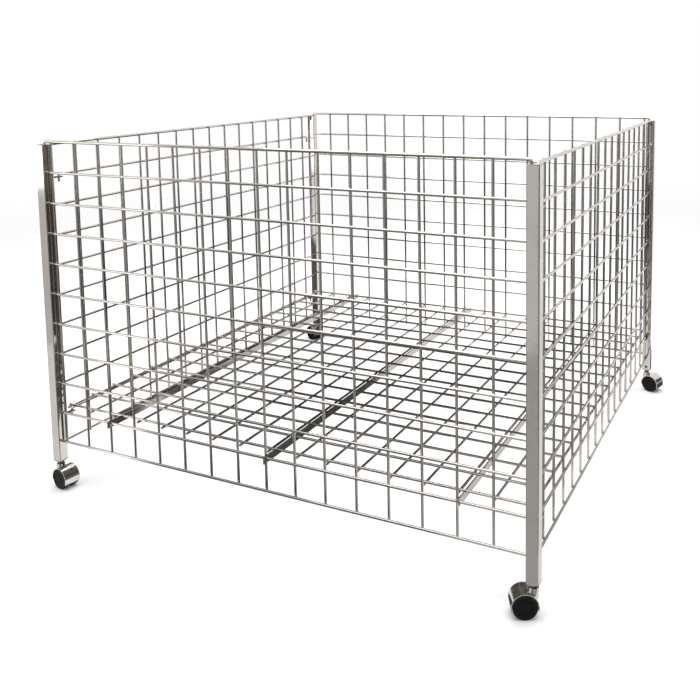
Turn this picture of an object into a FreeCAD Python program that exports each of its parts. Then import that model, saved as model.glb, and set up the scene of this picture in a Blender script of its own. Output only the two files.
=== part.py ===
"""Retail dump bin: a square, open-topped wire basket on four tube legs with twin-wheel casters.

Four grid panels hook between the legs, and a wire shelf lies on three flat bars that hang on the
second wire of the front and back panels. Units are millimetres. +Z is up, the front panel faces -Y,
and the origin is on the floor under the middle of the bin.
"""
import FreeCAD, Part
import math
import os

# Legs
leg_spacing = 1244.6            # centre to centre, both ways
leg_side = 25.4                 # outside of the square tube
leg_wall = 1.6
leg_corner = 2.0                # outside corner radius of the tube
leg_bottom = 68.0               # height of the tube's lower end above the floor
cap_plate = 2.0                 # the top cap's plate lies on the tube's end
cap_plug_depth = 10.0
plug_clearance = 0.2            # between an insert and the inside of the tube
tie_hole_diameter = 9.0
tie_hole_height = 8.8           # above the lower end of the tube

# Wire grid of a panel
wire_pitch = 76.2               # both ways
wire_diameter = 6.0
rim_diameter = 7.0
cell_rows = 10
near_margin = 19.05             # leg centre to the nearest upright, at the panel's tight end
least_far_margin = 25.0         # the same at its open end, at the least
first_row_height = 115.8        # front and back panels' lowest wire above the floor
side_panel_drop = 8.0           # the left and right panels hang this much lower
weld_sink = 0.05                # how far crossing wires press into each other at a weld
butt_gap = 0.3                  # from a wire's end to the leg beside it
upright_overhang = 3.0          # how far uprights pass the lowest wire's centre

# Ends of the wires at the legs
rim_stand = 8.0                 # the front and back rims' centre over the leg caps
rim_bend = 6.0                  # centreline radius of the rim's bends
rim_pin_inset = 6.0             # these rims' ends stand this much inboard of the legs' middles
rim_pin_length = 27.8           # how far they reach down into the leg
rim_pin_clearance = 0.3         # radial, in the cap's hole
side_rim_tip = 16.0             # how far the side panels' rims turn down beside the legs
side_rim_gap = 1.0              # from that tip to the leg
hook_row_inset = 1              # the side panels' wires that hook on the legs, counted from each end
hook_bend = 6.0
hook_reach = 30.0               # leg face to the hook's centre
hook_drop = 20.0
hook_clearance = 0.3            # radial, in the tab's hole
tab_width = 12.0
tab_thickness = 3.0
tab_lip = 5.0                   # metal left beyond the hole
tab_relief = 0.5                # around the upright that passes the tab

# Shelf and its bars
shelf_setback = 29.0            # leg centre line to the first and last cross wire
shelf_side_gap = 0.7            # from the shelf to the side panels, at the least
bar_beside_wire = 11.15         # from each bar to the shelf's length wire on its left
shelf_overhang = 7.5            # length wires pass the outer cross wires
shelf_seat = 0.3                # the shelf's cross wires lie this close over the bars
bar_thickness = 3.0
bar_height = 17.0
bar_web = 3.0                   # metal left over the wire in the hook's notch
bar_nose = 10.0                 # how far the hook's end stands out past the wire
bar_fit = 0.3                   # around the wire, and beside the upright
bar_inset = 2                   # the outer bars stand beside this upright, counted from each end
bar_row = 1

# Casters
caster_trail = 19.0
wheel_diameter = 50.0
wheel_outer_face = 21.0         # from the middle of the caster
wheel_inner_face = 3.5
wheel_edge = 1.5                # rounding of the tread's edges
wheel_dish_inner = 9.0
wheel_dish_outer = 19.5
wheel_dish_depth = 1.0
hood_gap = 0.8                  # radial, over the tread
hood_thickness = 1.7
hood_half_width = 20.5
hood_trailing_angle = -20.0     # around the axle, from level on the trailing side
hood_leading_angle = 192.0
web_half_thickness = 3.0
axle_boss_diameter = 16.0
axle_boss_gap = 0.3             # from the axle boss to each wheel
axle_diameter = 6.0
axle_clearance = 0.08           # radial, in the wheels
axle_half_length = 18.0
axle_end_gap = 0.3
swivel_boss_diameter = 20.0
swivel_boss_top = 56.0
swivel_boss_bottom = 36.0
stem_shank_diameter = 10.0      # held in the hood
stem_shank_bottom = 47.5
stem_neck_diameter = 13.0
stem_diameter = 11.0            # turns in the socket
stem_clearance = 0.08
stem_top = 92.0
stem_end_gap = 0.3
socket_collar = 6.0             # below the tube's end
socket_round = 26.8             # radius of the ball that rounds the collar's lower side
socket_round_past = 1.0         # how far that ball reaches below the collar
socket_collar_gap = 0.3         # above the stem's neck
socket_plug_height = 3.5
socket_barrel_diameter = 16.0
socket_height = 27.0            # above the tube's lower end

cut_past = 1.0                  # how far a cut runs past the face that it opens
merge_depth = 1.0               # how far parts of one solid reach into each other

# Which way each caster trails, in degrees from +X
heading_front_left = -9.0
heading_front_right = 206.1
heading_back_right = -17.5
heading_back_left = 153.5

Vector = FreeCAD.Vector
up = Vector(0, 0, 1)

# Derived sizes
half_span = leg_spacing / 2
rim_height = first_row_height + cell_rows * wire_pitch
leg_top = rim_height - rim_stand - cap_plate
tube_inside = leg_side - 2 * leg_wall
clear_run = half_span - leg_side / 2
upright_count = int((leg_spacing - near_margin - least_far_margin) / wire_pitch) + 1
far_margin = leg_spacing - near_margin - (upright_count - 1) * wire_pitch
upright_inset = wire_diameter - weld_sink
panel_inside = half_span - upright_inset - wire_diameter / 2
shelf_half_depth = half_span - shelf_setback
shelf_depth_cells = round(2 * shelf_half_depth / wire_pitch)
hook_rows = (hook_row_inset, cell_rows - hook_row_inset)
bar_uprights = (bar_inset, upright_count // 2, upright_count - bar_inset)
bar_beside_upright = (wire_diameter + bar_thickness) / 2 + bar_fit
shelf_left = -half_span + near_margin + bar_beside_upright - bar_beside_wire
shelf_width_cells = int((panel_inside - shelf_side_gap - wire_diameter / 2 - shelf_left) / wire_pitch)
shelf_right = shelf_left + shelf_width_cells * wire_pitch
rim_outset = (rim_diameter - wire_diameter) / 2
bar_top = first_row_height + bar_row * wire_pitch + wire_diameter / 2 + bar_fit + bar_web
axle_height = wheel_diameter / 2
hood_inside = wheel_diameter / 2 + hood_gap
hood_outside = hood_inside + hood_thickness
corners = (
    ("front_left", -half_span, -half_span),
    ("front_right", half_span, -half_span),
    ("back_right", half_span, half_span),
    ("back_left", -half_span, half_span),
)
headings = {
    "front_left": heading_front_left,
    "front_right": heading_front_right,
    "back_right": heading_back_right,
    "back_left": heading_back_left,
}


def rod(start, end, diameter):
    """Round bar between two points."""
    return Part.makeCylinder(diameter / 2, (end - start).Length, start, end - start)


def block(low, high):
    """Box from its lowest to its highest corner."""
    size = high - low
    return Part.makeBox(size.x, size.y, size.z, low)


def bent_rod(points, diameter, bend):
    """Round bar along straight runs through the points, with one bend radius at each inner point."""
    edges = []
    start = points[0]
    for before, corner, after in zip(points, points[1:], points[2:]):
        arrive = (corner - before).normalize()
        leave = (after - corner).normalize()
        turn = arrive.getAngle(leave)
        setback = bend * math.tan(turn / 2)
        first = corner - arrive * setback
        last = corner + leave * setback
        centre = corner + (leave - arrive).normalize() * (bend / math.cos(turn / 2))
        middle = centre + (corner - centre).normalize() * bend
        edges.append(Part.makeLine(start, first))
        edges.append(Part.Arc(first, middle, last).toShape())
        start = last
    edges.append(Part.makeLine(start, points[-1]))
    profile = Part.Wire([Part.makeCircle(diameter / 2, points[0], points[1] - points[0])])
    return Part.Wire(edges).makePipeShell([profile], True, False)


def square_prism(side, corner, bottom, top):
    """Upright square bar about the Z axis with rounded long edges."""
    half = side / 2
    bar = block(Vector(-half, -half, bottom), Vector(half, half, top))
    uprights = [edge for edge in bar.Edges if abs(edge.tangentAt(edge.FirstParameter).z) > 0.5]
    return bar.makeFillet(corner, uprights)


def turned(shape, quarter_turns):
    """Copy of a shape made at the front, turned about the middle of the bin to another side."""
    copy = shape.copy()
    copy.rotate(Vector(0, 0, 0), up, 90.0 * quarter_turns)
    return copy


def save(name, solids):
    """Write one node, as a single solid or as a group of separate solids."""
    shape = solids[0] if len(solids) == 1 else Part.makeCompound(solids)
    shape.exportStep("parts/" + name + ".step")
    print(name, len(solids), round(shape.Volume, 1), shape.isValid())


# Panels, made at the front and turned into place

def row_height(row, drop):
    """Height of a panel's wire, counted from its lowest."""
    return first_row_height - drop + row * wire_pitch


def upright_wires(first_margin, drop):
    """The panel's uprights, welded to the inside of its cross wires."""
    bottom = row_height(0, drop) - upright_overhang
    top = row_height(cell_rows, drop) + rim_diameter / 2
    wires = []
    for index in range(upright_count):
        x = -half_span + first_margin + index * wire_pitch
        y = -half_span + upright_inset
        wires.append(rod(Vector(x, y, bottom), Vector(x, y, top), wire_diameter))
    return wires


def cross_wires(drop, hooked_rows):
    """The panel's cross wires below its rim; the hooked rows end in tips turned down."""
    wires = []
    for row in range(cell_rows):
        z = row_height(row, drop)
        if row in hooked_rows:
            end = clear_run - hook_reach
            points = [Vector(-end, -half_span, z - hook_drop), Vector(-end, -half_span, z),
                      Vector(end, -half_span, z), Vector(end, -half_span, z - hook_drop)]
            wires.append(bent_rod(points, wire_diameter, hook_bend))
        else:
            end = clear_run - butt_gap
            wires.append(rod(Vector(-end, -half_span, z), Vector(end, -half_span, z), wire_diameter))
    return wires


def rim_wire(drop, end, tip):
    """The thicker top wire, turned down at both ends."""
    z = row_height(cell_rows, drop)
    y = -half_span - rim_outset
    points = [Vector(-end, y, z - tip), Vector(-end, y, z), Vector(end, y, z), Vector(end, y, z - tip)]
    return bent_rod(points, rim_diameter, rim_bend)


def make_panels():
    """Front and back panels drop into the leg tops; left and right panels hook onto the tabs."""
    side_rim_end = clear_run - side_rim_gap - rim_diameter / 2
    high = (near_margin, 0.0, (), half_span - rim_pin_inset, rim_pin_length)
    low = (far_margin, side_panel_drop, hook_rows, side_rim_end, side_rim_tip)
    sides = (("front", 0, high), ("right", 1, low), ("back", 2, high), ("left", 3, low))
    for name, quarter_turns, layout in sides:
        first_margin, drop, hooked_rows, rim_end, rim_tip = layout
        pieces = {
            "uprights": upright_wires(first_margin, drop),
            "cross_wires": cross_wires(drop, hooked_rows),
            "rim": [rim_wire(drop, rim_end, rim_tip)],
        }
        for piece, wires in pieces.items():
            save(name + "_panel_" + piece, [turned(wire, quarter_turns) for wire in wires])


# Legs, made on the Z axis with the side panel on their +Y side

def leg_tube():
    """Square tube with a hole low in the wall that faces the side panel."""
    tube = square_prism(leg_side, leg_corner, leg_bottom, leg_top)
    hollow = square_prism(tube_inside, leg_corner - leg_wall, leg_bottom - cut_past, leg_top + cut_past)
    tube = tube.cut(hollow)
    hole_centre = Vector(0, 0, leg_bottom + tie_hole_height)
    return tube.cut(rod(hole_centre, hole_centre + Vector(0, leg_side, 0), tie_hole_diameter))


def leg_cap(inboard):
    """Plate with a plug in the tube's top and a hole for the rim's end, towards the inboard side."""
    plug_side = tube_inside - 2 * plug_clearance
    cap = square_prism(leg_side, leg_corner, leg_top, leg_top + cap_plate)
    cap = cap.fuse(square_prism(plug_side, leg_corner / 2, leg_top - cap_plug_depth, leg_top + cap_plate / 2))
    hole_x = inboard * rim_pin_inset
    hole_start = Vector(hole_x, -rim_outset, leg_top - cap_plug_depth - cut_past)
    hole_end = Vector(hole_x, -rim_outset, leg_top + cap_plate + cut_past)
    return cap.cut(rod(hole_start, hole_end, rim_diameter + 2 * rim_pin_clearance)).removeSplitter()


def leg_socket():
    """Insert in the tube's lower end with the bore that the caster's stem turns in."""
    plug_side = tube_inside - 2 * plug_clearance
    collar_bottom = leg_bottom - socket_collar
    ball = Part.makeSphere(socket_round, up * (collar_bottom - socket_round_past + socket_round))
    collar = square_prism(leg_side, leg_corner, collar_bottom, leg_bottom).common(ball)
    plug_top = leg_bottom + socket_plug_height
    plug = square_prism(plug_side, leg_corner / 2, leg_bottom - merge_depth, plug_top)
    barrel = rod(up * leg_bottom, up * (leg_bottom + socket_height), socket_barrel_diameter)
    bore_start = up * (collar_bottom - cut_past)
    bore_end = up * (stem_top + stem_end_gap)
    socket = collar.fuse([plug, barrel])
    return socket.cut(rod(bore_start, bore_end, stem_diameter + 2 * stem_clearance)).removeSplitter()


def hook_tab(row, tight):
    """Flat tab welded to the leg's face, with the eye that a side panel's hook drops into.

    At the panel's tight end an upright passes the tab, so its edge is relieved there.
    """
    top = row_height(row, side_panel_drop) - hook_bend - hook_clearance
    eye = Vector(0, leg_side / 2 + hook_reach, top)
    eye_diameter = wire_diameter + 2 * hook_clearance
    end = eye.y + eye_diameter / 2 + tab_lip
    tab = block(Vector(-tab_width / 2, leg_side / 2, top - tab_thickness), Vector(tab_width / 2, end, top))
    below = up * (tab_thickness + cut_past)
    above = up * cut_past
    tab = tab.cut(rod(eye - below, eye + above, eye_diameter))
    if tight:
        upright = Vector(upright_inset, near_margin, top)
    else:
        upright = Vector(-upright_inset, far_margin, top)
    return tab.cut(rod(upright - below, upright + above, wire_diameter + 2 * tab_relief))


def make_legs():
    """A leg with its cap, socket and hook tabs at each corner."""
    for name, x, y in corners:
        facing = -math.copysign(1, y)
        place = FreeCAD.Placement(Vector(x, y, 0), FreeCAD.Rotation(up, 0 if facing > 0 else 180))
        pieces = {
            "leg": [leg_tube()],
            "leg_cap": [leg_cap(-math.copysign(1, x) * facing)],
            "leg_socket": [leg_socket()],
            "hook_tabs": [hook_tab(row, x * y > 0) for row in hook_rows],
        }
        for piece, solids in pieces.items():
            save(piece + "_" + name, [solid.transformed(place.toMatrix()) for solid in solids])


# Shelf and bars

def make_shelf():
    """Cross wires lie over the bars, and the length wires are welded under them."""
    cross_z = bar_top + shelf_seat + wire_diameter / 2
    length_z = cross_z - wire_diameter + weld_sink
    left_end = shelf_left - wire_diameter / 2
    right_end = shelf_right + wire_diameter / 2
    depth_pitch = 2 * shelf_half_depth / shelf_depth_cells
    cross = []
    for index in range(shelf_depth_cells + 1):
        y = -shelf_half_depth + index * depth_pitch
        cross.append(rod(Vector(left_end, y, cross_z), Vector(right_end, y, cross_z), wire_diameter))
    length = []
    for index in range(shelf_width_cells + 1):
        x = shelf_left + index * wire_pitch
        end = shelf_half_depth + shelf_overhang
        length.append(rod(Vector(x, -end, length_z), Vector(x, end, length_z), wire_diameter))
    save("shelf_cross_wires", cross)
    save("shelf_length_wires", length)


def support_bar(x):
    """Flat bar on edge, notched at both ends to hang on the panels' wires."""
    half = bar_thickness / 2
    end = half_span + bar_nose
    bar = block(Vector(x - half, -end, bar_top - bar_height), Vector(x + half, end, bar_top))
    notch = wire_diameter / 2 + bar_fit
    for side in (-1, 1):
        y = side * half_span
        low = Vector(x - bar_thickness, y - notch, bar_top - bar_height - cut_past)
        bar = bar.cut(block(low, Vector(x + bar_thickness, y + notch, bar_top - bar_web)))
    return bar


def make_bars():
    """The bars stand right beside uprights of the front panel, clear of the uprights of the back one."""
    for name, index in zip(("left", "middle", "right"), bar_uprights):
        upright = -half_span + near_margin + index * wire_pitch
        save("shelf_bar_" + name, [support_bar(upright + bar_beside_upright)])


# Casters, made with the stem on the Z axis and the wheels trailing towards +X

def on_axle(angle, radius):
    """Point in the caster's middle plane, at an angle around the axle."""
    turn = math.radians(angle)
    return Vector(caster_trail + radius * math.cos(turn), 0, axle_height + radius * math.sin(turn))


def hood_arc(radius):
    """Edge around the axle from the hood's trailing end to its leading end."""
    middle = (hood_trailing_angle + hood_leading_angle) / 2
    ends = on_axle(hood_trailing_angle, radius), on_axle(hood_leading_angle, radius)
    return Part.Arc(ends[0], on_axle(middle, radius), ends[1]).toShape()


def across(face, half_width):
    """Extrude a face of the middle plane to both sides."""
    face.translate(Vector(0, -half_width, 0))
    return face.extrude(Vector(0, 2 * half_width, 0))


def caster_hood():
    """Drum over both wheels, joined by a web in the middle to the axle boss and the swivel boss."""
    outer = hood_arc(hood_outside)
    inner = hood_arc(hood_inside)
    ends = [Part.makeLine(on_axle(angle, hood_inside), on_axle(angle, hood_outside))
            for angle in (hood_trailing_angle, hood_leading_angle)]
    drum_outline = Part.Wire(Part.__sortEdges__([outer, inner] + ends))
    drum = across(Part.Face(drum_outline), hood_half_width)
    web_radius = hood_inside + hood_thickness / 2
    spokes = [Part.makeLine(on_axle(0, 0), on_axle(angle, web_radius))
              for angle in (hood_trailing_angle, hood_leading_angle)]
    web_outline = Part.Wire(Part.__sortEdges__([hood_arc(web_radius)] + spokes))
    web = across(Part.Face(web_outline), web_half_thickness)
    boss_half = wheel_inner_face - axle_boss_gap
    axle_boss = rod(Vector(caster_trail, -boss_half, axle_height),
                    Vector(caster_trail, boss_half, axle_height), axle_boss_diameter)
    swivel_boss = rod(up * swivel_boss_bottom, up * swivel_boss_top, swivel_boss_diameter)
    wheel_room = rod(Vector(caster_trail, -swivel_boss_diameter, axle_height),
                     Vector(caster_trail, swivel_boss_diameter, axle_height), 2 * hood_inside)
    hood = drum.fuse([web, axle_boss, swivel_boss.cut(wheel_room)])
    axle_hole = rod(Vector(caster_trail, -wheel_inner_face, axle_height),
                    Vector(caster_trail, wheel_inner_face, axle_height), axle_diameter)
    shank_hole = rod(up * stem_shank_bottom, up * (swivel_boss_top + cut_past), stem_shank_diameter)
    return hood.cut(axle_hole).cut(shank_hole).removeSplitter()


def caster_stem():
    """Shank in the hood, a neck under the leg and the stem that turns in the leg's socket."""
    neck_top = leg_bottom - socket_collar - socket_collar_gap
    shank = rod(up * stem_shank_bottom, up * (swivel_boss_top + merge_depth), stem_shank_diameter)
    neck = rod(up * swivel_boss_top, up * neck_top, stem_neck_diameter)
    stem = rod(up * (neck_top - merge_depth), up * stem_top, stem_diameter)
    return shank.fuse([neck, stem]).removeSplitter()


def caster_axle():
    """Plain pin through the hood's web and both wheels."""
    return rod(Vector(caster_trail, -axle_half_length, axle_height),
               Vector(caster_trail, axle_half_length, axle_height), axle_diameter)


def caster_wheel(side):
    """One wheel of the pair: rounded tread edges, a dished outer face and a blind bore."""
    centre = Vector(caster_trail, 0, axle_height)
    inner = centre + Vector(0, side * wheel_inner_face, 0)
    outer = centre + Vector(0, side * wheel_outer_face, 0)
    wheel = rod(inner, outer, wheel_diameter)
    wheel = wheel.makeFillet(wheel_edge, [edge for edge in wheel.Edges if edge.Length > 3 * wheel_diameter
                                          and edge.isClosed()])
    dish_floor = outer - Vector(0, side * wheel_dish_depth, 0)
    dish_mouth = outer + Vector(0, side * cut_past, 0)
    dish = rod(dish_floor, dish_mouth, 2 * wheel_dish_outer)
    dish = dish.cut(rod(dish_floor, dish_mouth, 2 * wheel_dish_inner))
    bore_end = centre + Vector(0, side * (axle_half_length + axle_end_gap), 0)
    bore = rod(centre, bore_end, axle_diameter + 2 * axle_clearance)
    return wheel.cut(dish).cut(bore)


def make_casters():
    """A caster under each leg, turned to its own heading."""
    for name, x, y in corners:
        place = FreeCAD.Placement(Vector(x, y, 0), FreeCAD.Rotation(up, headings[name]))
        pieces = {
            "caster_hood": caster_hood(),
            "caster_stem": caster_stem(),
            "caster_axle": caster_axle(),
            "caster_wheel_a": caster_wheel(1),
            "caster_wheel_b": caster_wheel(-1),
        }
        for piece, solid in pieces.items():
            save(piece + "_" + name, [solid.transformed(place.toMatrix())])


os.makedirs("parts", exist_ok=True)
make_panels()
make_legs()
make_shelf()
make_bars()
make_casters()
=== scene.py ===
"""Chrome wire dump bin on casters: its meshes, finishes, studio and camera, in metres."""

import logging
import math
from dataclasses import dataclass, field
from enum import Enum

import bmesh
import bpy
import numpy as np
from mathutils import Matrix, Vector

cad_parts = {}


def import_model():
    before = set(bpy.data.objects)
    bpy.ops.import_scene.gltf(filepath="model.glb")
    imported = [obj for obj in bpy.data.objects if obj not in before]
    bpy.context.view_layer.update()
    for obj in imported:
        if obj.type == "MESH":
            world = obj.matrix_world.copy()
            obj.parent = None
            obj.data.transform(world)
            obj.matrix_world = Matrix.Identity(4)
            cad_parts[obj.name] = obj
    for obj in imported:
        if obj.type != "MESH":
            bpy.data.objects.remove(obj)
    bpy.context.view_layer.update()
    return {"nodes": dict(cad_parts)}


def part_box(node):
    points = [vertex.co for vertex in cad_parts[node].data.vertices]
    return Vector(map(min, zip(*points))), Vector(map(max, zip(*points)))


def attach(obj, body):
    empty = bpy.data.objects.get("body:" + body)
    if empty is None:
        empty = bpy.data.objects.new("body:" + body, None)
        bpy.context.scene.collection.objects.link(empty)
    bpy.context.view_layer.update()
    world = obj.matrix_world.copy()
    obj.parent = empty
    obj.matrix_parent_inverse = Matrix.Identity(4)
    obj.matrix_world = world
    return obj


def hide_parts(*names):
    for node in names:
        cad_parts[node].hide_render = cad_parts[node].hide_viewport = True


log = logging.getLogger("dump_bin")
CORNERS = ("front_left", "front_right", "back_right", "back_left")
ALONG_X, ALONG_Y, ALONG_Z = np.eye(3)
# Headings of the casters: how far each has swung about its stem, in degrees.
HEADINGS = {"front_left": -9.0, "front_right": 206.1, "back_right": -17.5, "back_left": 153.5}
# Faces that meet at less than these angles are shaded as one curve.
CURVE_ANGLE = math.radians(40)
EDGE_ANGLE = math.radians(35)
# Widest gap between points that are merged, and flattest fold that is kept, in a copied mesh.
MERGE_GAP = 2e-6
FLAT_ANGLE = math.radians(0.3)


# ---------------------------------------------------------------- surfaces

@dataclass(frozen=True)
class Surface:
    """Points with the faces of one or more closed shells.

    Attributes:
        points: Array of shape (n, 3), in metres.
        faces: Arrays of shape (m, k), each holding m faces of k corners.
        marks: One value for each point, for a finish that changes along the shape.
    """

    points: np.ndarray
    faces: tuple[np.ndarray, ...]
    marks: np.ndarray

    def turned(self, matrix: np.ndarray, offset: np.ndarray) -> "Surface":
        """Turn every point by a 3 by 3 rotation, then move it."""
        return Surface(self.points @ matrix.T + offset, self.faces, self.marks)

    @staticmethod
    def joined(surfaces: list["Surface"]) -> "Surface":
        """Put several surfaces in one, without merging their points.

        Args:
            surfaces: The surfaces to join.

        Returns:
            One surface, whose face arrays are grouped by their number of corners.
        """
        starts = np.cumsum([0] + [len(s.points) for s in surfaces])
        groups: dict[int, list[np.ndarray]] = {}
        for start, surface in zip(starts, surfaces):
            for block in surface.faces:
                groups.setdefault(block.shape[1], []).append(block + start)
        faces = tuple(np.concatenate(blocks) for blocks in groups.values())
        points = np.concatenate([s.points for s in surfaces])
        return Surface(points, faces, np.concatenate([s.marks for s in surfaces]))


def rings_surface(rings: np.ndarray, marks: np.ndarray, closed_ends: bool) -> Surface:
    """Skin a stack of rings, each joined to the next by quads.

    Point j of ring i joins point j + 1 of the same ring and both points of ring i + 1. With closed
    ends, a fan of triangles meets at the middle of the first and of the last ring.

    Args:
        rings: Array of shape (rings, sides, 3), each ring running counter-clockwise seen from the end.
        marks: One value for each ring.
        closed_ends: Whether to close both ends; otherwise the last ring joins the first.

    Returns:
        The closed surface.
    """
    count, sides = rings.shape[:2]
    index = np.arange(count * sides).reshape(count, sides)
    if closed_ends:
        low, high = index[:-1], index[1:]
    else:
        low, high = index, np.roll(index, -1, axis=0)
    quads = np.stack([low, np.roll(low, -1, axis=1), np.roll(high, -1, axis=1), high], axis=-1)
    points = rings.reshape(-1, 3)
    values = np.repeat(marks, sides)
    if not closed_ends:
        return Surface(points, (quads.reshape(-1, 4),), values)
    ends = np.stack([rings[0].mean(axis=0), rings[-1].mean(axis=0)])
    first, last = count * sides, count * sides + 1
    start_fan = np.stack([np.full(sides, first), np.roll(index[0], -1), index[0]], axis=-1)
    end_fan = np.stack([np.full(sides, last), index[-1], np.roll(index[-1], -1)], axis=-1)
    fans = np.concatenate([start_fan, end_fan])
    return Surface(np.concatenate([points, ends]), (quads.reshape(-1, 4), fans),
                   np.concatenate([values, [marks[0], marks[-1]]]))


def round_bar(path: np.ndarray, radius: float, side: np.ndarray, sides: int = 12) -> Surface:
    """Round wire along a path that lies in one plane, with slightly rounded ends.

    A ring's point at angle a is centre + r (cos a · side + sin a · (tangent × side)). The two end
    rings are drawn in to 0.7 of the radius over a third of it, as a cropped and plated end is.

    Args:
        path: Array of shape (n, 3), the wire's centre line.
        radius: The wire's radius.
        side: Unit vector at right angles to the path's plane.
        sides: Points in each ring.

    Returns:
        The wire's closed surface; its marks run from 0 at one end to 1 at the other.
    """
    inset = radius / 3
    start = path[0] + (path[1] - path[0]) / np.linalg.norm(path[1] - path[0]) * inset
    end = path[-1] + (path[-2] - path[-1]) / np.linalg.norm(path[-2] - path[-1]) * inset
    centres = np.concatenate([path[:1], [start], path[1:-1], [end], path[-1:]])
    tangents = np.gradient(centres, axis=0)
    tangents /= np.linalg.norm(tangents, axis=1, keepdims=True)
    across = np.cross(tangents, side)
    angle = np.linspace(0, 2 * np.pi, sides, endpoint=False)[None, :, None]
    radii = np.full(len(centres), radius)
    radii[[0, -1]] = 0.7 * radius
    circle = np.cos(angle) * side - np.sin(angle) * across[:, None]
    rings = centres[:, None] + radii[:, None, None] * circle
    return rings_surface(rings, np.linspace(0, 1, len(centres)), True)


def bent_path(points: np.ndarray, bend: float, steps: int = 6) -> np.ndarray:
    """Centre line along straight runs with one bend radius at each inner point.

    Each corner becomes an arc: centre + bend (-cos t · inward + sin t · forward), for t across the turn.

    Args:
        points: Array of shape (n, 3), the corners of the route, all in one plane.
        bend: Radius of every bend.
        steps: Points in each arc.

    Returns:
        Array of the route's points.
    """
    route = [points[:1]]
    for before, corner, after in zip(points, points[1:], points[2:]):
        arrive = (corner - before) / np.linalg.norm(corner - before)
        leave = (after - corner) / np.linalg.norm(after - corner)
        turn = math.acos(float(np.clip(arrive @ leave, -1, 1)))
        reach = bend * math.tan(turn / 2)
        inward = leave - arrive * math.cos(turn)
        inward /= np.linalg.norm(inward)
        centre = corner - arrive * reach + inward * bend
        t = np.linspace(0, turn, steps)[:, None]
        route.append(centre - bend * np.cos(t) * inward + bend * np.sin(t) * arrive)
    return np.concatenate(route + [points[-1:]])


def lathe(profile: np.ndarray, sides: int) -> Surface:
    """Turn a closed profile around the Y axis.

    Point (r, y) of the profile at angle a becomes (r cos a, y, r sin a).

    Args:
        profile: Array of shape (n, 3) of radius, place along Y and mark, closing on itself.
        sides: Number of steps around the axis.

    Returns:
        The closed surface.
    """
    angle = np.linspace(0, 2 * np.pi, sides, endpoint=False)
    radius, along, mark = profile.T
    points = np.stack([np.outer(np.cos(angle), radius), np.tile(along, (sides, 1)),
                       np.outer(np.sin(angle), radius)], axis=-1)
    skin = rings_surface(points, np.zeros(sides), False)
    return Surface(skin.points, skin.faces, np.tile(mark, sides))


def blob(radius: float, height: float, sides: int = 8, bands: int = 4) -> Surface:
    """Flattened bead around the origin, thin along Z: (r sin t cos a, r sin t sin a, h cos t).

    Args:
        radius: Its radius across.
        height: Half its thickness.
        sides: Points around it.
        bands: Bands of faces from pole to pole.

    Returns:
        The bead's closed surface.
    """
    angle = np.linspace(0, 2 * np.pi, sides, endpoint=False)
    tilt = np.linspace(np.pi, 0, bands + 1)[1:-1, None]
    rings = np.stack([radius * np.sin(tilt) * np.cos(angle), radius * np.sin(tilt) * np.sin(angle),
                      np.broadcast_to(height * np.cos(tilt), (bands - 1, sides))], axis=-1)
    skin = rings_surface(rings, np.full(bands - 1, 0.5), True)
    skin.points[-2:, 2] = -height, height
    return skin


def ribbon(first: np.ndarray, second: np.ndarray) -> Surface:
    """Open strip of quads between two edges with the same number of points."""
    count = len(first)
    index = np.arange(count - 1)
    quads = np.stack([index, index + 1, index + count + 1, index + count], axis=-1)
    return Surface(np.concatenate([first, second]), (quads,), np.zeros(2 * count))


def repeated(shape: Surface, offsets: np.ndarray, matrix: np.ndarray) -> Surface:
    """Copies of one shape, each turned by the same matrix and moved to its own place."""
    return Surface.joined([shape.turned(matrix, offset) for offset in offsets])


def quarter_turn(turns: int) -> np.ndarray:
    """Rotation about Z by a number of quarter turns, exact to the last digit."""
    cosine, sine = ((1, 0), (0, 1), (-1, 0), (0, -1))[turns % 4]
    return np.array([[cosine, -sine, 0], [sine, cosine, 0], [0, 0, 1]], dtype=float)


def heading_turn(angle: float) -> np.ndarray:
    """Rotation about Z by an angle in radians."""
    cosine, sine = math.cos(angle), math.sin(angle)
    return np.array([[cosine, -sine, 0], [sine, cosine, 0], [0, 0, 1]])


# ---------------------------------------------------------------- pieces

def make_piece(name: str, surface: Surface, material: bpy.types.Material) -> bpy.types.Object:
    """Put a surface into a smooth-shaded object at the origin.

    Args:
        name: The piece's name.
        surface: Its points and faces; the marks become the attribute "wear".
        material: Its finish.

    Returns:
        The new object.
    """
    mesh = bpy.data.meshes.new(name)
    faces = [face for block in surface.faces for face in block.tolist()]
    mesh.from_pydata(surface.points.tolist(), [], faces)
    attribute = mesh.attributes.new("wear", "FLOAT", "POINT")
    attribute.data.foreach_set("value", surface.marks.astype(np.float32))
    mesh.polygons.foreach_set("use_smooth", np.ones(len(mesh.polygons), dtype=bool))
    mesh.set_sharp_from_angle(angle=CURVE_ANGLE)
    mesh.materials.append(material)
    piece = bpy.data.objects.new(name, mesh)
    bpy.context.scene.collection.objects.link(piece)
    return piece


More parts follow.
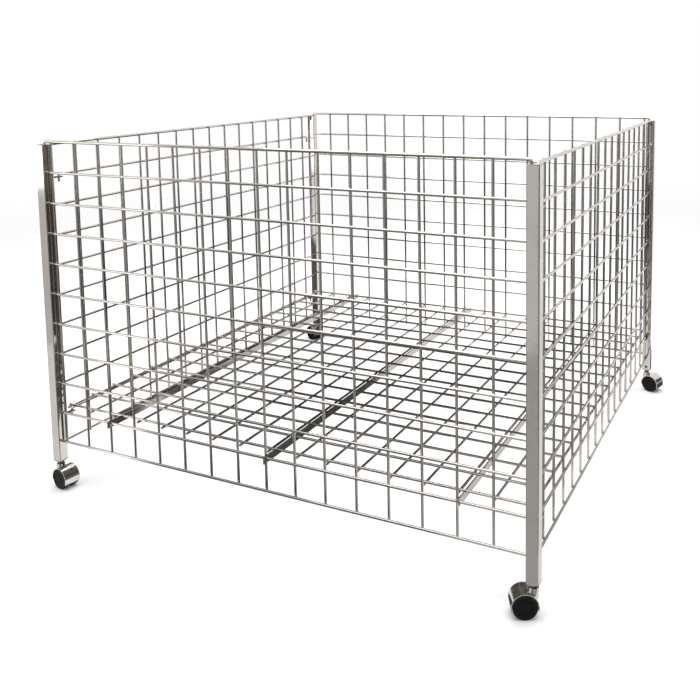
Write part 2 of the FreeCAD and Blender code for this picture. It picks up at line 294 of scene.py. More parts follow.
def refined_copy(name: str, node: bpy.types.Object, material: bpy.types.Material,
                 bevel: float) -> bpy.types.Object:
    """Copy a node's mesh, merge its loose triangles and round its edges.

    Args:
        name: The new piece's name.
        node: The node to copy; it is left as it is.
        material: The piece's finish.
        bevel: Width of the rounding on its edges.

    Returns:
        The new object.
    """
    merged = bmesh.new()
    merged.from_mesh(node.data)
    bmesh.ops.remove_doubles(merged, verts=merged.verts, dist=MERGE_GAP)
    bmesh.ops.dissolve_limit(merged, angle_limit=FLAT_ANGLE, verts=merged.verts, edges=merged.edges)
    mesh = bpy.data.meshes.new(name)
    merged.to_mesh(mesh)
    merged.free()
    mesh.materials.clear()
    mesh.materials.append(material)
    mesh.polygons.foreach_set("material_index", np.zeros(len(mesh.polygons), dtype=np.int32))
    mesh.polygons.foreach_set("use_smooth", np.ones(len(mesh.polygons), dtype=bool))
    mesh.set_sharp_from_angle(angle=EDGE_ANGLE)
    piece = bpy.data.objects.new(name, mesh)
    bpy.context.scene.collection.objects.link(piece)
    rounding = piece.modifiers.new("edges", "BEVEL")
    rounding.width = bevel
    rounding.segments = 2
    rounding.limit_method = "ANGLE"
    rounding.angle_limit = EDGE_ANGLE
    rounding.harden_normals = True
    return piece


# ---------------------------------------------------------------- shader building

@dataclass
class Value:
    """A shader socket that takes part in arithmetic; each operator adds one Math node."""

    shader: "Shader"
    socket: bpy.types.NodeSocket

    def _math(self, operation: str, *others: "Value | float") -> "Value":
        """Add a Math node on this value and the others."""
        return self.shader.node("ShaderNodeMath", {"operation": operation}, dict(enumerate((self, *others))))

    def __add__(self, other: "Value | float") -> "Value":
        """Sum."""
        return self._math("ADD", other)

    def __sub__(self, other: "Value | float") -> "Value":
        """Difference."""
        return self._math("SUBTRACT", other)

    def __rsub__(self, other: float) -> "Value":
        """Difference from a number."""
        return self._math("MULTIPLY", -1.0) + other

    def __mul__(self, other: "Value | float") -> "Value":
        """Product."""
        return self._math("MULTIPLY", other)

    __radd__ = __add__
    __rmul__ = __mul__

    def at_least(self, other: "Value | float") -> "Value":
        """The larger of the two."""
        return self._math("MAXIMUM", other)

    def distance_from_nearest(self, first: float, pitch: float) -> "Value":
        """Distance to the nearest of evenly spaced places, the first of which is given."""
        return self._math("SUBTRACT", first)._math("PINGPONG", pitch / 2)

    def band(self, low: float, high: float) -> "Value":
        """0 below low, 1 above high and smooth in between; falls instead where low is the larger."""
        inputs = {"Value": self, "From Min": low, "From Max": high, "To Min": 0.0, "To Max": 1.0}
        return self.shader.node("ShaderNodeMapRange", {"interpolation_type": "SMOOTHSTEP"}, inputs)


class Shader:
    """The node tree of a material or a world, and the ways that nodes are added to it."""

    def __init__(self, owner: bpy.types.Material | bpy.types.World, output: str) -> None:
        """Empty the owner's tree and add its output.

        Args:
            owner: The material or world.
            output: Type of its output node.
        """
        owner.use_nodes = True
        self.owner = owner
        self.tree = owner.node_tree
        self.tree.nodes.clear()
        self.output = self.tree.nodes.new(output)

    @classmethod
    def of_material(cls, name: str) -> "Shader":
        """Start a new material."""
        return cls(bpy.data.materials.new(name), "ShaderNodeOutputMaterial")

    @classmethod
    def of_world(cls, name: str) -> "Shader":
        """Start a new world and make it the scene's."""
        bpy.context.scene.world = bpy.data.worlds.new(name)
        return cls(bpy.context.scene.world, "ShaderNodeOutputWorld")

    def node(self, kind: str, settings: dict[str, object], inputs: dict[object, object],
             output: int | str = 0) -> Value:
        """Add a node.

        Args:
            kind: The node's type.
            settings: Its properties, set before its sockets.
            inputs: A value or another node's socket for each input, by name or number.
            output: Which of its sockets to return.

        Returns:
            The chosen output socket.
        """
        made = self.tree.nodes.new(kind)
        for key, setting in settings.items():
            setattr(made, key, setting)
        for key, given in inputs.items():
            if isinstance(given, Value):
                self.tree.links.new(given.socket, made.inputs[key])
            else:
                made.inputs[key].default_value = given
        return Value(self, made.outputs[output])

    def place(self, scale: tuple[float, float, float] = (1, 1, 1)) -> Value:
        """Object coordinates, stretched along the axes."""
        coordinates = self.node("ShaderNodeTexCoord", {}, {}, "Object")
        return self.node("ShaderNodeMapping", {}, {"Vector": coordinates, "Scale": scale})

    def axis(self, letter: str) -> Value:
        """One Object coordinate: X, Y or Z."""
        return self.node("ShaderNodeSeparateXYZ", {}, {"Vector": self.place()}, letter)

    def noise(self, scale: float, detail: float = 3.0,
              stretch: tuple[float, float, float] = (1, 1, 1)) -> Value:
        """Noise from 0 to 1 with a mean of a half."""
        inputs = {"Vector": self.place(stretch), "Scale": scale, "Detail": detail, "Roughness": 0.6}
        return self.node("ShaderNodeTexNoise", {}, inputs, "Fac")

    def attribute(self, name: str) -> Value:
        """A value stored on the mesh's points."""
        return self.node("ShaderNodeAttribute", {"attribute_name": name}, {}, "Fac")

    def blend(self, factor: Value, first: object, second: object) -> Value:
        """Colour between two colours."""
        return self.node("ShaderNodeMix", {"data_type": "RGBA"}, {0: factor, 6: first, 7: second}, 2)

    def bump(self, height: Value, depth: float) -> Value:
        """Surface normal for a height from 0 to 1 over a depth in metres."""
        inputs = {"Height": height, "Distance": depth, "Strength": 1.0}
        return self.node("ShaderNodeBump", {}, inputs, "Normal")

    def finish(self, inputs: dict[object, object],
               kind: str = "ShaderNodeBsdfPrincipled") -> bpy.types.Material | bpy.types.World:
        """Close the tree with its surface shader.

        Args:
            inputs: The shader's sockets by name.
            kind: The shader's type.

        Returns:
            The finished material or world.
        """
        surface = self.node(kind, {}, inputs)
        self.tree.links.new(surface.socket, self.output.inputs["Surface"])
        return self.owner


Colour = tuple[float, float, float, float]


def grey(level: float, warmth: float = 0.0) -> Colour:
    """Neutral colour, made warmer by taking a share from its blue and half of it from its green."""
    return (level, level * (1 - warmth / 2), level * (1 - warmth), 1.0)


@dataclass(frozen=True)
class ChromePlate:
    """Bright chrome over steel: nearly a mirror, with faint haze, smudges and fine pores, and a warm tint
    painted into its colour as a painted reflection of a warm room.

    Attributes:
        name: The material's name.
        bright: Level of the clean metal.
        dull: Level where haze or handling dims it.
        polish: Roughness of the clean metal.
        haze: Roughness that smudges add.
        grain: Direction in which the drawing lines run, as stretches of the noise.
        pore_depth: Depth of the finest texture.
        warmth: How much less blue than red the metal is drawn; this warm tint is a painted reflection of a
            warm room, not the plate's own colour.
    """

    name: str
    bright: float = 0.66
    dull: float = 0.52
    polish: float = 0.03
    haze: float = 0.05
    grain: tuple[float, float, float] = (1.0, 1.0, 1.0)
    pore_depth: float = 0.00001
    # Warm tint painted into the chrome's colour: a painted reflection of a warm room.
    warmth: float = 0.12

    def surface(self, shader: Shader) -> tuple[Value, Value]:
        """Smudge and pore patterns.

        Args:
            shader: The material that is being made.

        Returns:
            Smudge from 0 to 1 and fine grain from 0 to 1.
        """
        smudge = (shader.noise(9.0, 4.0) * 0.6 + shader.noise(70.0, 3.0) * 0.4).band(0.42, 0.66)
        fine = shader.noise(900.0, 2.0, self.grain)
        return smudge, fine

    def material(self) -> bpy.types.Material:
        """Make the material."""
        shader = Shader.of_material(self.name)
        smudge, fine = self.surface(shader)
        dulled = smudge * 0.7 + fine * 0.3
        return shader.finish({
            # Both greys carry the warm tint painted in as a reflection of a warm room; smudges and haze
            # blend between them.
            "Base Color": shader.blend(dulled, grey(self.bright, self.warmth), grey(self.dull, self.warmth)),
            "Metallic": 1.0,
            "Roughness": smudge * self.haze + fine * 0.03 + self.polish,
            "Normal": shader.bump(fine, self.pore_depth),
        })


@dataclass(frozen=True)
class WeldedChrome(ChromePlate):
    """Plated wire that is duller and pitted in a short ring around every weld.

    Attributes:
        axis: Object axis along which the welds are spaced.
        first: Place of the first weld on that axis.
        pitch: Distance from weld to weld.
        reach: How far the dull ring spreads from the weld.
    """

    axis: str = "Z"
    first: float = 0.0
    pitch: float = 0.0762
    reach: float = 0.006

    def surface(self, shader: Shader) -> tuple[Value, Value]:
        """Smudge with the welds' rings added, and fine grain.

        Args:
            shader: The material that is being made.

        Returns:
            Smudge from 0 to 1 and fine grain from 0 to 1.
        """
        smudge, fine = ChromePlate.surface(self, shader)
        near = shader.axis(self.axis).distance_from_nearest(self.first, self.pitch).band(self.reach, 0.002)
        patchy = shader.noise(420.0, 2.0).band(0.35, 0.6)
        return smudge * 0.75 + near * patchy * 0.9, fine


@dataclass(frozen=True)
class MouldedNylon:
    """Black moulded nylon with a fine satin skin, dusty and scuffed where the mark "wear" is high.

    Attributes:
        name: The material's name.
        level: Colour of the clean nylon.
        dusty: Colour where it is worn.
        gloss: Roughness of the clean nylon.
        shine: Strength of its highlights.
    """

    name: str
    level: float = 0.005
    dusty: float = 0.03
    gloss: float = 0.42
    shine: float = 0.12

    def material(self) -> bpy.types.Material:
        """Make the material."""
        shader = Shader.of_material(self.name)
        skin = shader.noise(1400.0, 2.0)
        cloud = shader.noise(60.0, 4.0)
        scuffs = shader.noise(260.0, 3.0).band(0.5, 0.66)
        worn = shader.attribute("wear") * (0.35 + scuffs * 0.65) + cloud.band(0.55, 0.8) * 0.12
        return shader.finish({
            "Base Color": shader.blend(worn, grey(self.level), grey(self.dusty, 0.12)),
            "Roughness": worn * 0.35 + skin * 0.08 + self.gloss,
            "Specular IOR Level": self.shine,
            "Normal": shader.bump(skin * 0.5 + scuffs * worn, 0.00006),
        })


@dataclass(frozen=True)
class PlainSteel:
    """Dark plated steel pin with fine turning lines.

    Attributes:
        name: The material's name.
        level: Colour of the clean steel.
        polish: Roughness of the clean steel.
    """

    name: str
    level: float = 0.16
    polish: float = 0.3

    def material(self) -> bpy.types.Material:
        """Make the material."""
        shader = Shader.of_material(self.name)
        lines = shader.noise(500.0, 2.0, (0.05, 0.05, 3.0))
        stain = shader.noise(120.0, 3.0).band(0.4, 0.7)
        return shader.finish({
            "Base Color": shader.blend(stain, grey(self.level), grey(self.level * 0.55, 0.1)),
            "Metallic": 1.0,
            "Roughness": lines * 0.15 + stain * 0.12 + self.polish,
            "Normal": shader.bump(lines, 0.00005),
        })


# ---------------------------------------------------------------- the grid

class Ends(Enum):
    """How a panel is held at the legs."""

    RIM_PINS = "the rim's ends drop into the leg caps"
    HOOKS = "two cross wires hook into the legs' tabs"


@dataclass
class WireGrid:
    """Sizes that the panels and the shelf share.

    Attributes:
        radius: Half the wire's thickness.
        rim_radius: Half the rim wire's thickness.
        bow: How far a wire strays from straight along its length.
        bead: Radius of the weld's bead.
        bead_depth: Half the bead's thickness, through the weld.
        strays: Source of the wires' bows.
    """

    radius: float = 0.003
    rim_radius: float = 0.0035
    bow: float = 0.0002
    bead: float = 0.0027
    bead_depth: float = 0.0015
    strays: np.random.Generator = field(default_factory=lambda: np.random.default_rng(7))

    def straight(self, start: tuple[float, float, float], end: tuple[float, float, float],
                 stray_way: np.ndarray) -> Surface:
        """Straight wire that strays slightly to one side and back.

        Point t of the path, from 0 to 1, is start + t (end - start) + stray · sin(pi t) sideways.

        Args:
            start: One end.
            end: The other end.
            stray_way: Unit vector of the bow, at right angles to the wire.

        Returns:
            The wire's surface.
        """
        t = np.array([0, 0.2, 0.4, 0.6, 0.8, 1.0])[:, None]
        run = np.subtract(end, start)
        stray = self.bow * self.strays.uniform(-1, 1)
        path = start + t * run + stray * np.sin(np.pi * t) * stray_way
        return round_bar(path, self.radius, np.cross(run / np.linalg.norm(run), stray_way))

    def beads(self, across: np.ndarray, along: np.ndarray, depth: float) -> Surface:
        """Weld beads at every crossing of a grid that lies in the X-Z plane.

        Args:
            across: Places of the crossings along X.
            along: Places of the crossings along Z.
            depth: Place of the contact along Y.

        Returns:
            All the beads in one surface.
        """
        x, z = np.meshgrid(across, along)
        places = np.stack([x.ravel(), np.full(x.size, depth), z.ravel()], axis=-1)
        flat_to_wall = np.array([[1, 0, 0], [0, 0, 1], [0, -1, 0]], dtype=float)
        return repeated(blob(self.bead, self.bead_depth), places, flat_to_wall)


@dataclass
class Panel:
    """One side of the bin: uprights inside cross wires, under a thicker rim.

    It is laid out as the front panel is, with X along it and +Y into the bin, then turned.

    Attributes:
        name: Side of the bin.
        turns: Quarter turns from the front to that side.
        ends: How it is held at the legs.
        grid: Sizes of the wires.
        upright_count: Number of uprights.
        row_count: Number of cross wires, the rim included.
        hook_rows: Cross wires that hook on, counted from the lowest, where the panel has hooks.
        hook_place: Distance of the hooks from the panel's middle.
        hook_drop: How far a hook's tip reaches below its wire.
        hook_bend: Radius of the hooks' bends.
        rim_bend: Radius of the rim's bends.
    """

    name: str
    turns: int
    ends: Ends
    grid: WireGrid
    upright_count: int = 16
    row_count: int = 11
    hook_rows: tuple[int, ...] = (1, 9)
    hook_place: float = 0.5796
    hook_drop: float = 0.020
    hook_bend: float = 0.006
    rim_bend: float = 0.006

    def local_box(self, part: str) -> tuple[np.ndarray, np.ndarray]:
        """Corners of one of the panel's nodes, turned back to the front.

        Args:
            part: The node's name after the panel's.

        Returns:
            Lowest and highest corner.
        """
        corners = np.array(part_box(f"{self.name}_panel_{part}")) @ quarter_turn(-self.turns).T
        return corners.min(axis=0), corners.max(axis=0)

    def stations(self) -> tuple[np.ndarray, np.ndarray]:
        """Places of the uprights along X and of the cross wires along Z."""
        low, high = self.local_box("uprights")
        across = np.linspace(low[0] + self.grid.radius, high[0] - self.grid.radius, self.upright_count)
        rim_top = self.local_box("rim")[1][2]
        along = np.linspace(low[2] + self.grid.radius, rim_top - self.grid.rim_radius, self.row_count)
        return across, along

    def uprights(self) -> Surface:
        """The uprights, each with its own faint bow."""
        low, high = self.local_box("uprights")
        y = (low[1] + high[1]) / 2
        return Surface.joined([self.grid.straight((x, y, low[2]), (x, y, high[2]), ALONG_X)
                               for x in self.stations()[0]])

    def cross_wires(self) -> Surface:
        """The cross wires, two of them turned down at their ends where the panel hooks on, and the welds."""
        low, high = self.local_box("cross_wires")
        depth = (low[1] + high[1]) / 2
        across, along = self.stations()
        wires = []
        for row, z in enumerate(along[:-1]):
            if self.ends is Ends.HOOKS and row in self.hook_rows:
                wires.append(self.hooked(z, depth))
            else:
                wires.append(self.grid.straight((low[0], depth, z), (high[0], depth, z), ALONG_Z))
        contact = depth + self.grid.radius
        return Surface.joined(wires + [self.grid.beads(across, along, contact)])

    def hooked(self, z: float, depth: float) -> Surface:
        """A cross wire whose ends turn down into the tabs' eyes.

        Args:
            z: The wire's height.
            depth: Its place along Y.

        Returns:
            The wire's surface.
        """
        x, tip = self.hook_place, z - self.hook_drop
        corners = np.array([[-x, depth, tip], [-x, depth, z], [x, depth, z], [x, depth, tip]])
        return round_bar(bent_path(corners, self.hook_bend), self.grid.radius, ALONG_Y)

    def rim(self) -> Surface:
        """The rim wire, turned down at both ends."""
        low, high = self.local_box("rim")
        radius = self.grid.rim_radius
        x, y, z = high[0] - radius, (low[1] + high[1]) / 2, high[2] - radius
        corners = np.array([[-x, y, low[2]], [-x, y, z], [x, y, z], [x, y, low[2]]])
        return round_bar(bent_path(corners, self.rim_bend), radius, ALONG_Y, 14)

    def build(self) -> None:
        """Make the panel's three pieces."""
        turn = quarter_turn(self.turns)
        across, along = self.stations()
        way = "X" if self.turns % 2 == 0 else "Y"
        first = float((turn @ (across[0], 0, 0))["XY".index(way)])
        for part, surface, axis, weld in (("uprights", self.uprights(), "Z", float(along[0])),
                                          ("cross_wires", self.cross_wires(), way, first),
                                          ("rim", self.rim(), way, first)):
            node = f"{self.name}_panel_{part}"
            chrome = WeldedChrome(f"chrome_{self.name}_{part}", axis=axis, first=weld).material()
            piece = make_piece(f"{node}_wire", surface.turned(turn, np.zeros(3)), chrome)
            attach(piece, "frame")
            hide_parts(node)
        log.info("%s panel: %d uprights, %d rows", self.name, self.upright_count, self.row_count)


@dataclass
class Shelf:
    """Loose wire shelf: cross wires over length wires.

    Attributes:
        grid: Sizes of the wires.
        cross_count: Number of cross wires.
        length_count: Number of length wires.
    """

    grid: WireGrid
    cross_count: int = 17
    length_count: int = 17

    def build(self) -> None:
        """Make the shelf's two pieces."""
        radius = self.grid.radius
        cross_low, cross_high = np.array(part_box("shelf_cross_wires"))
        length_low, length_high = np.array(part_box("shelf_length_wires"))
        rows = np.linspace(cross_low[1] + radius, cross_high[1] - radius, self.cross_count)
        files = np.linspace(length_low[0] + radius, length_high[0] - radius, self.length_count)
        cross_z, length_z = cross_high[2] - radius, length_high[2] - radius
        cross = [self.grid.straight((cross_low[0], y, cross_z), (cross_high[0], y, cross_z), ALONG_Y)
                 for y in rows]
        length = [self.grid.straight((x, length_low[1], length_z), (x, length_high[1], length_z), ALONG_X)
                  for x in files]
        x, y = np.meshgrid(files, rows)
        places = np.stack([x.ravel(), y.ravel(), np.full(x.size, cross_z - radius)], axis=-1)
        beads = repeated(blob(self.grid.bead, self.grid.bead_depth), places, np.eye(3))
        pitch_y = float(rows[1] - rows[0])
        finishes = (
            ("shelf_cross_wires", Surface.joined(cross + [beads]),
             WeldedChrome("chrome_shelf_cross", axis="X", first=float(files[0])).material()),
            ("shelf_length_wires", Surface.joined(length),
             WeldedChrome("chrome_shelf_length", axis="Y", first=float(rows[0]), pitch=pitch_y).material()),
        )
        for node, surface, chrome in finishes:
            piece = make_piece(f"{node}_round", surface, chrome)
            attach(piece, "shelf")
            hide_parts(node)
        log.info("shelf: %d by %d wires", self.cross_count, self.length_count)


@dataclass
class ShelfBars:
    """Three flat bars on edge, notched over the panels' wires.

    Attributes:
        edge: Width of the rounding on their edges.
    """

    edge: float = 0.0004

    def build(self, nodes: dict[str, bpy.types.Object]) -> None:
        """Round the bars' edges and plate them.

        Args:
            nodes: The frame's nodes by name.
        """
        chrome = ChromePlate("chrome_flat_bar", bright=0.5, dull=0.4, polish=0.12,
                             grain=(1.0, 0.04, 1.0)).material()
        for place in ("left", "middle", "right"):
            node = f"shelf_bar_{place}"
            piece = refined_copy(f"{node}_plated", nodes[node], chrome, self.edge)
            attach(piece, "frame")
            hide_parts(node)
        log.info("shelf bars: three")


@dataclass
class Legs:
    """Square tubes with their caps, caster sockets and hook tabs.

    Attributes:
        tube_edge: Width of the rounding on the tubes' edges.
        small_edge: The same on the small parts.
    """

    tube_edge: float = 0.0004
    small_edge: float = 0.0003

    def build(self, nodes: dict[str, bpy.types.Object]) -> None:
        """Refine the tubes, caps, sockets and tabs at every corner.

        Args:
            nodes: The frame's nodes by name.
        """
        # warmth=0.13 paints a warm tint into the tube's chrome as a painted reflection of a warm room.
        tube = ChromePlate("chrome_tube", bright=0.67, dull=0.59, polish=0.05, haze=0.05,
                           grain=(1.0, 1.0, 0.03), warmth=0.13).material()
        small = ChromePlate("chrome_small_parts", bright=0.45, dull=0.36, polish=0.12).material()
        nylon = MouldedNylon("socket_nylon", level=0.33, dusty=0.28).material()
        for corner in CORNERS:
            for part, material, slot, edge in (("leg", tube, "tube_chrome", self.tube_edge),
                                               ("leg_cap", small, "tube_chrome", self.small_edge),
                                               ("hook_tabs", small, "tube_chrome", self.small_edge),
                                               ("leg_socket", nylon, "socket_nylon", self.small_edge)):
                node = f"{part}_{corner}"
                piece = refined_copy(f"{node}_finished", nodes[node], material, edge)
                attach(piece, "frame")
                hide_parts(node)
        log.info("legs: %d", len(CORNERS))


@dataclass
class Caster:
    """Hooded caster with two wheels, laid out with its stem on the Z axis and trailing towards +X.

    Attributes:
        corner: The leg that it stands under.
        heading: How far it has swung about its stem, in degrees.
        trail: Distance from the stem to the axle.
        axle_height: Height of the axle over the floor.
        wheel_radius: Radius of the wheels.
        wheel_inner: Place of a wheel's inner side along the axle.
        wheel_outer: Place of its outer side.
        shoulder: Radius of the wheels' shoulders.
        edge: Width of the rounding on the metal parts' edges.
    """

    corner: str
    heading: float
    trail: float = 0.019
    axle_height: float = 0.025
    wheel_radius: float = 0.025
    wheel_inner: float = 0.0035
    wheel_outer: float = 0.021
    shoulder: float = 0.0022
    edge: float = 0.0004

    def wheel_profile(self) -> np.ndarray:
        """Half section of a wheel: crowned tread, rounded shoulders, dished face with a raised hub.

        Returns:
            Array of radius, place along the axle and wear, closing on itself.
        """
        r, inner, outer = self.wheel_radius, self.wheel_inner, self.wheel_outer
        arc = np.radians(np.linspace(0, 90, 6))
        face = [(0.0, outer - 0.0006, 0.1), (0.0052, outer - 0.0006, 0.1), (0.0060, outer - 0.0002, 0.4),
                (0.0088, outer - 0.0002, 0.3), (0.0094, outer - 0.0010, 0.1), (0.0186, outer - 0.0010, 0.1),
                (0.0194, outer - 0.0003, 0.4), (0.0198, outer, 0.5)]
        inset, run = self.shoulder * (1 - np.sin(arc)), self.shoulder * (1 - np.cos(arc))
        outer_shoulder = [(r - i, outer - j, 0.6) for i, j in zip(inset, run)]
        inner_shoulder = [(r - j, inner + i, 0.6) for i, j in zip(inset, run)]
        tread = [(r - 0.00005, (inner + outer) / 2 + 0.004, 0.95), (r, (inner + outer) / 2, 1.0),
                 (r - 0.00005, (inner + outer) / 2 - 0.004, 0.95)]
        back = [(0.012, inner, 0.1), (0.0, inner, 0.1)]
        return np.array(face + outer_shoulder + tread + inner_shoulder + back)

    def wheel(self, side: int) -> Surface:
        """One wheel of the pair.

        Args:
            side: 1 for the wheel on the axle's positive side, -1 for the other.

        Returns:
            The wheel's surface, around its own axle.
        """
        turned = lathe(self.wheel_profile() * (1, side, 1), 64)
        if side > 0:
            return turned
        return Surface(turned.points, tuple(block[:, ::-1] for block in turned.faces), turned.marks)

    def placed(self, surface: Surface) -> Surface:
        """Move a shape from the axle to the caster's place under its leg.

        Args:
            surface: Shape around the axle.

        Returns:
            The shape in place.
        """
        low, high = np.array(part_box(f"caster_stem_{self.corner}"))
        stem = np.array([(low[0] + high[0]) / 2, (low[1] + high[1]) / 2, 0.0])
        shifted = surface.turned(np.eye(3), np.array([self.trail, 0.0, self.axle_height]))
        return shifted.turned(heading_turn(math.radians(self.heading)), stem)

    def build(self, nodes: dict[str, bpy.types.Object], finishes: dict[str, bpy.types.Material]) -> None:
        """Make the caster's wheels and refine its metal parts.

        Args:
            nodes: The frame's nodes by name.
            finishes: Materials for the nylon, hood, stem and axle.
        """
        for letter, side in (("a", 1), ("b", -1)):
            node = f"caster_wheel_{letter}_{self.corner}"
            piece = make_piece(f"{node}_moulded", self.placed(self.wheel(side)), finishes["nylon"])
            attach(piece, f"wheel_{letter}_{self.corner}")
            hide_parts(node)
        for part, slot in (("hood", "hood_chrome"), ("stem", "stem_steel"), ("axle", "axle_steel")):
            node = f"caster_{part}_{self.corner}"
            piece = refined_copy(f"{node}_finished", nodes[node], finishes[part], self.edge)
            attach(piece, f"caster_{self.corner}")
            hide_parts(node)
        log.info("caster %s", self.corner)


# ---------------------------------------------------------------- studio

def set_down(name: str, data: bpy.types.ID, axes: np.ndarray,
             place: tuple[float, float, float]) -> bpy.types.Object:
    """Put a lamp or a camera in the scene.

    Args:
        name: The object's name.
        data: Its lamp or camera.
        axes: 3 by 3 array whose columns are its own axes.
        place: Where it stands.

    Returns:
        The new object.
    """
    holder = bpy.data.objects.new(name, data)
    rows = np.block([[axes, np.array(place)[:, None]], [np.zeros((1, 3)), np.ones((1, 1))]])
    holder.matrix_world = Matrix(rows.tolist())
    bpy.context.scene.collection.objects.link(holder)
    return holder


@dataclass(frozen=True)
class Lane:
    """Strip in the line along which a leg's face mirrors the studio: flat, then upright.

    Attributes:
        name: The strip's name.
        leg: Foot of the leg's face.
        angle: Direction of the strip from the leg, in radians from +X.
        turn: How far from the leg the strip turns up.
        levels: How bright the metal sees its flat part and its upright part.
        height: Top of its upright part.
        width: Its width.
    """

    name: str
    leg: tuple[float, float, float]
    angle: float
    turn: float
    levels: tuple[float, float]
    height: float = 1.3
    width: float = 0.44

    def strip(self, *run: tuple[float, float]) -> Surface:
        """Part of the strip.

        Args:
            run: Distances from the leg's face along the line, each with a height.

        Returns:
            Its faces.
        """
        way = np.array([math.cos(self.angle), math.sin(self.angle), 0.0])
        middle = np.array([self.leg + distance * way + height * ALONG_Z for distance, height in run])
        side = np.cross(ALONG_Z, way) * self.width / 2
        return ribbon(middle - side, middle + side)


@dataclass
class Studio:
    """White floor and surroundings, soft lamps, and dark cards that only the metal sees.

    Attributes:
        floor_radius: Radius of the floor.
        fade_from: Where the floor begins to fade into the surroundings.
        floor_level: Colour of the floor.
        seen_level: Surroundings as the camera, metal and glass see them.
        light_level: Surroundings as a light on everything else.
        card_radius: How far from the middle the upright cards stand.
        card_height: Their height.
        mat_edge: Half the width of the square on which the near and the far mat meet.
        mat_start: Size of the hole in the near mat, as a share of that square.
        mat_height: How far the mats lie over the floor.
        near_level: How bright the metal sees the near mat.
        lanes: Strips that brighten four of the legs' faces.
        heap_size: Radius and half the height of the heap in the basket.
        heap_middle: Height of the heap's middle.
        heap_level: How bright the metal sees it.
        sectors: First and last angles of the cards, in degrees from +X, and how bright the metal
            sees them and the far mat; the rest is open.
    """

    floor_radius: float = 7.0
    fade_from: float = 2.2
    floor_level: float = 0.96
    seen_level: float = 1.0
    light_level: float = 0.8
    card_radius: float = 2.1
    card_height: float = 1.3
    mat_edge: float = 0.88
    mat_start: float = 0.05
    mat_height: float = 0.002
    near_level: float = 0.08
    lanes: tuple[Lane, ...] = (
        Lane("front_right", (0.622, -0.635, 0.0), -1.866, 1.46, (0.45, 0.66)),
        Lane("front_left", (-0.622, -0.635, 0.0), -2.431, 1.20, (0.88, 0.63), 0.62),
        Lane("right_side", (0.635, -0.622, 0.0), 1.286, 2.20, (0.92, 1.0), width=0.36),
        Lane("back_right", (0.622, 0.610, 0.0), -1.733, 1.20, (0.95, 0.95), 0.03, 0.36))
    heap_size: tuple[float, float] = (0.59, 0.20)
    heap_middle: float = 0.43
    heap_level: float = 0.05
    sectors: tuple[tuple[float, float, float], ...] = (
        (-126.0, -112.0, 0.12), (-112.0, 4.0, 0.24), (4.0, 56.0, 0.12), (112.0, 212.0, 0.12))

    def floor(self) -> None:
        """Lay a round floor that fades out towards its edge."""
        shader = Shader.of_material("studio_floor")
        marks = shader.noise(0.6, 2.0)
        colour = shader.blend(marks.band(0.3, 0.7), grey(self.floor_level), grey(self.floor_level - 0.01))
        radius = shader.node("ShaderNodeVectorMath", {"operation": "LENGTH"}, {0: shader.place()}, "Value")
        material = shader.finish({"Base Color": colour, "Roughness": 0.9, "Specular IOR Level": 0.1,
                                  "Alpha": radius.band(self.floor_radius * 0.8, self.fade_from)})
        angle = np.linspace(0, 2 * np.pi, 96, endpoint=False)
        rim = self.floor_radius * np.stack([np.cos(angle), np.sin(angle), 0 * angle], axis=-1)
        plate = make_piece("studio_floor", Surface(rim, (np.arange(96)[None, :],), np.zeros(96)), material)

    def world(self) -> None:
        """White for the camera, metal and glass; plain light grey for everything else."""
        shader = Shader.of_world("studio_world")
        camera, glossy, through = (shader.node("ShaderNodeLightPath", {}, {}, f"Is {kind} Ray")
                                   for kind in ("Camera", "Glossy", "Transmission"))
        seen = camera.at_least(glossy).at_least(through)
        strength = seen * (self.seen_level - self.light_level) + self.light_level
        shader.finish({"Color": (1, 1, 1, 1), "Strength": strength}, "ShaderNodeBackground")

    def card(self, name: str, surface: Surface, level: float) -> None:
        """Add a card that only the metal sees.

        Args:
            name: The card's name.
            surface: Its faces.
            level: How bright the metal sees it.
        """
        glow = Shader.of_material(name).finish({"Color": grey(level), "Strength": 1.0}, "ShaderNodeEmission")
        card = make_piece(name, surface, glow)
        card.visible_camera = False
        card.visible_diffuse = False
        card.visible_shadow = False

    def upright_band(self, first: float, last: float) -> Surface:
        """Cards round the bin, from one angle to another: (r cos a, r sin a, z)."""
        angle = np.radians(np.linspace(first, last, 64))
        edges = [np.column_stack([self.card_radius * np.cos(angle), self.card_radius * np.sin(angle),
                                  np.full(64, z)]) for z in (0.0, self.card_height)]
        return ribbon(edges[0], edges[1])

    def mats(self, first: float, last: float) -> tuple[Surface, Surface]:
        """Flat mats from one angle to another: one near the bin, and one from there to the cards.

        They meet on a square of half-width h, whose point in direction a lies h / max(|cos a|, |sin a|)
        from the middle.
        """
        angle = np.radians(np.linspace(first, last, 128))
        way = np.column_stack([np.cos(angle), np.sin(angle)])
        square = self.mat_edge * way / np.abs(way).max(axis=1, keepdims=True)
        inner, middle, outer = (np.hstack([edge, np.full((128, 1), self.mat_height)])
                                for edge in (square * self.mat_start, square, way * self.card_radius))
        return ribbon(inner, middle), ribbon(middle, outer)

    def heap(self) -> Surface:
        """Rounded heap in the basket, nearly square from above.

        Each point of an ellipsoid moves out by 1 / (cos^8 a + sin^8 a)^(1/8) for its angle a about Z.
        """
        radius, height = self.heap_size
        round_heap = blob(radius, height, 48, 14)
        x, y, z = round_heap.points.T
        reach = np.maximum(np.hypot(x, y), 1e-9)
        swell = np.maximum((x / reach) ** 8 + (y / reach) ** 8, 1e-9) ** -0.125
        swell[-2:] = 1.0
        points = np.column_stack([x * swell, y * swell, z + self.heap_middle])
        return Surface(points, round_heap.faces, round_heap.marks)

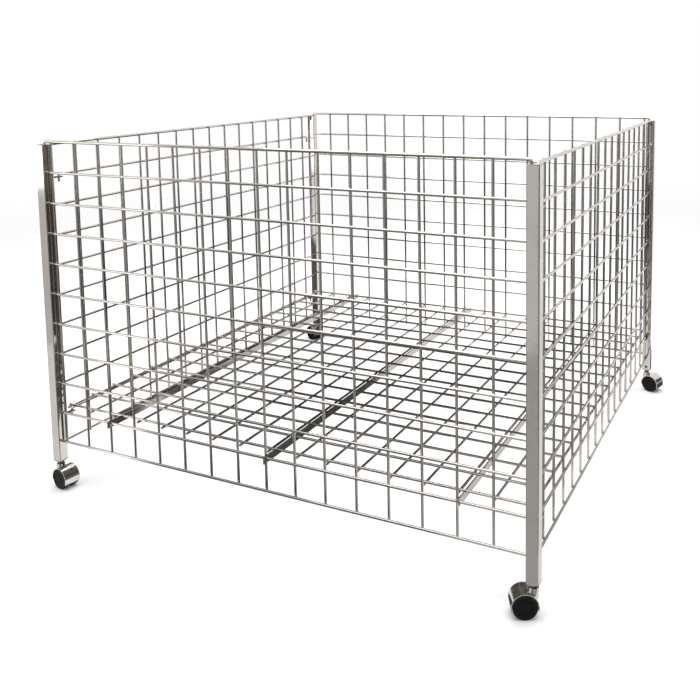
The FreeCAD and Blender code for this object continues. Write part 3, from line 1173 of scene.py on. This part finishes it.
    def lamp(self, name: str, place: tuple[float, float, float], aim: tuple[float, float, float],
             size: tuple[float, float], power: float) -> None:
        """Add a soft lamp.

        Args:
            name: The lamp's name.
            place: Where it stands.
            aim: The point that it faces.
            size: Its width and height.
            power: Its power in watts.
        """
        light = bpy.data.lights.new(name, "AREA")
        light.shape = "RECTANGLE"
        light.size, light.size_y = size
        light.energy = power
        forward = np.array(aim) - np.array(place)
        forward = forward / np.linalg.norm(forward)
        right = ALONG_X if abs(forward[2]) > 0.999 else np.cross(forward, ALONG_Z)
        right = right / np.linalg.norm(right)
        set_down(name, light, np.stack([right, np.cross(right, forward), -forward], axis=-1), place)

    def build(self) -> None:
        """Set up the floor, the surroundings, the dark cards and the lamps."""
        self.floor()
        self.world()
        for index, (first, last, level) in enumerate(self.sectors):
            near, far = self.mats(first, last)
            self.card(f"studio_card_{index}", self.upright_band(first, last), level)
            self.card(f"studio_mat_near_{index}", near, self.near_level)
            self.card(f"studio_mat_far_{index}", far, level)
        over = 2 * self.mat_height
        for lane in self.lanes:
            flat = lane.strip((0.01, over), (lane.turn, over))
            upright = lane.strip((lane.turn, over), (lane.turn, lane.height))
            for place, strip, level in zip(("flat", "upright"), (flat, upright), lane.levels):
                self.card(f"studio_lane_{lane.name}_{place}", strip, level)
        self.card("studio_heap", self.heap(), self.heap_level)
        self.lamp("lamp_overhead", (0.0, 0.0, 3.4), (0.0, 0.0, 0.0), (3.4, 3.4), 110.0)
        self.lamp("lamp_left", (-4.2, -3.7, 0.65), (-0.6, -0.6, 0.65), (2.0, 1.3), 20.0)
        log.info("studio ready")


@dataclass
class Viewpoint:
    """The camera, placed by its position, heading, tilt and the image's optical centre.

    Attributes:
        place: Where the lens stands.
        heading: Angle to the left of +Y, in degrees.
        tilt: Angle below level, in degrees.
        roll: Turn about the line of sight, in degrees.
        focal_pixels: Focal length over the width of one pixel.
        centre: Optical centre in a square image of this many pixels.
        image: Width and height of the image in pixels.
        sensor: Width of the sensor in millimetres.
    """

    place: tuple[float, float, float] = (1.0655, -2.0910, 1.0467)
    heading: float = 25.617
    tilt: float = 5.947
    roll: float = 0.756
    focal_pixels: float = 841.7
    centre: tuple[float, float] = (405.0, 155.0)
    image: float = 700.0
    sensor: float = 36.0

    def build(self) -> None:
        """Make the camera and look through it."""
        yaw, pitch, roll = (math.radians(a) for a in (self.heading, self.tilt, self.roll))
        ahead = np.array([-math.sin(yaw), math.cos(yaw), 0.0])
        forward = math.cos(pitch) * ahead - math.sin(pitch) * ALONG_Z
        level = np.array([math.cos(yaw), math.sin(yaw), 0.0])
        down = np.cross(forward, level)
        right = math.cos(roll) * level + math.sin(roll) * down
        below = -math.sin(roll) * level + math.cos(roll) * down
        camera = bpy.data.cameras.new("camera")
        camera.sensor_width = self.sensor
        camera.lens = self.focal_pixels * self.sensor / self.image
        camera.shift_x = (self.image / 2 - self.centre[0]) / self.image
        camera.shift_y = (self.centre[1] - self.image / 2) / self.image
        camera.clip_end = 100.0
        turn = np.stack([right, -below, -forward], axis=-1)
        bpy.context.scene.camera = set_down("camera", camera, turn, self.place)
        log.info("camera at %s", self.place)


# ---------------------------------------------------------------- assembly

def main(frame: dict) -> None:
    """Build the camera, the studio and every piece of the bin.

    Args:
        frame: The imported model, as loaded.
    """
    bpy.context.scene.view_settings.view_transform = "Standard"
    Viewpoint().build()
    Studio().build()
    grid = WireGrid()
    for name, turns, ends in (("front", 0, Ends.RIM_PINS), ("right", 1, Ends.HOOKS),
                              ("back", 2, Ends.RIM_PINS), ("left", 3, Ends.HOOKS)):
        Panel(name, turns, ends, grid).build()
    Shelf(grid).build()
    nodes = frame["nodes"]
    ShelfBars().build(nodes)
    Legs().build(nodes)
    finishes = {
        "nylon": MouldedNylon("wheel_nylon").material(),
        "hood": ChromePlate("chrome_hood", bright=0.72, dull=0.6, polish=0.05, haze=0.1).material(),
        "stem": PlainSteel("stem_steel").material(),
        "axle": PlainSteel("axle_steel", level=0.4, polish=0.2).material(),
    }
    for corner in CORNERS:
        Caster(corner, HEADINGS[corner]).build(nodes, finishes)


if __name__ == "__main__":
    logging.basicConfig(level=logging.INFO)
    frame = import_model()
    main(frame)
